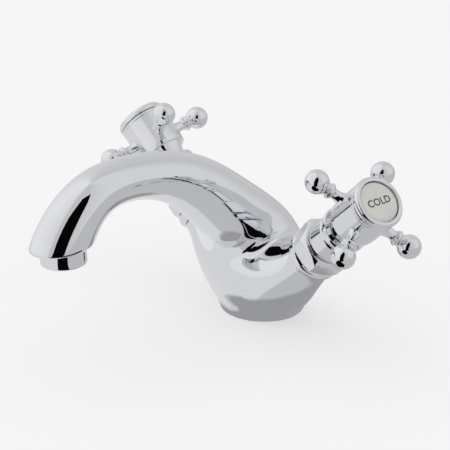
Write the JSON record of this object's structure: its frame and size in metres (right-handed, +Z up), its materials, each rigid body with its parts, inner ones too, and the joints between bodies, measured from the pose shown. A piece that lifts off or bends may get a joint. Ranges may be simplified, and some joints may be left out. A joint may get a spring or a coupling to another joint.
{
  "type": "basin mixer tap",
  "caption": "One-hole basin mixer tap with an arched fixed spout, two splayed quarter-turn valves and cross handles with ball ends and ceramic index discs.",
  "frame": {"origin": "centre of the round foot, on its underside", "axes": "+Z up out of the basin, spout towards -Y, cold valve towards +X and hot valve towards -X"},
  "size_m": [0.2164, 0.1831, 0.1118],
  "materials": {
    "polished_chrome": "mirror-polished chrome plate on brass",
    "brass": "machined",
    "stainless_steel": "machined",
    "black_rubber": "moulded",
    "white_ceramic": "lapped",
    "index_ceramic": "satin glaze, off-white",
    "white_plastic": "moulded"
  },
  "bodies": {
    "mixer_body": {"body_casting": "polished_chrome", "base_gasket": "black_rubber", "aerator_housing": "polished_chrome", "aerator_insert": "white_plastic", "aerator_washer": "black_rubber", "cold_collar_ring": "polished_chrome", "cold_gland_nut": "polished_chrome", "cold_bonnet_sleeve": "polished_chrome", "cold_valve_housing": "brass", "cold_housing_seal": "black_rubber", "cold_seat_seal": "black_rubber", "cold_stem_seal": "black_rubber", "cold_lower_disc": "white_ceramic", "hot_collar_ring": "polished_chrome", "hot_gland_nut": "polished_chrome", "hot_bonnet_sleeve": "polished_chrome", "hot_valve_housing": "brass", "hot_housing_seal": "black_rubber", "hot_seat_seal": "black_rubber", "hot_stem_seal": "black_rubber", "hot_lower_disc": "white_ceramic"},
    "cold_handle": {"cold_upper_disc": "white_ceramic", "cold_spindle": "brass", "cold_thrust_ring": "stainless_steel", "cold_hub": "polished_chrome", "cold_arm_1": "polished_chrome", "cold_arm_2": "polished_chrome", "cold_arm_3": "polished_chrome", "cold_arm_4": "polished_chrome", "cold_handle_screw": "stainless_steel", "cold_bezel_cap": "polished_chrome", "cold_index_disc": "index_ceramic"},
    "hot_handle": {"hot_upper_disc": "white_ceramic", "hot_spindle": "brass", "hot_thrust_ring": "stainless_steel", "hot_hub": "polished_chrome", "hot_arm_1": "polished_chrome", "hot_arm_2": "polished_chrome", "hot_arm_3": "polished_chrome", "hot_arm_4": "polished_chrome", "hot_handle_screw": "stainless_steel", "hot_bezel_cap": "polished_chrome", "hot_index_disc": "index_ceramic"}
  },
  "joints": [
    {"name": "cold_turn", "type": "hinge", "parent": "mixer_body", "child": "cold_handle", "pos_m": [0.08405, -0.00488, 0.07901], "axis": [0.7518, -0.0423, 0.658], "range_deg": [-90, 0]},
    {"name": "hot_turn", "type": "hinge", "parent": "mixer_body", "child": "hot_handle", "pos_m": [-0.08405, -0.00488, 0.07901], "axis": [-0.7518, -0.0423, 0.658], "range_deg": [0, 90]}
  ]
}
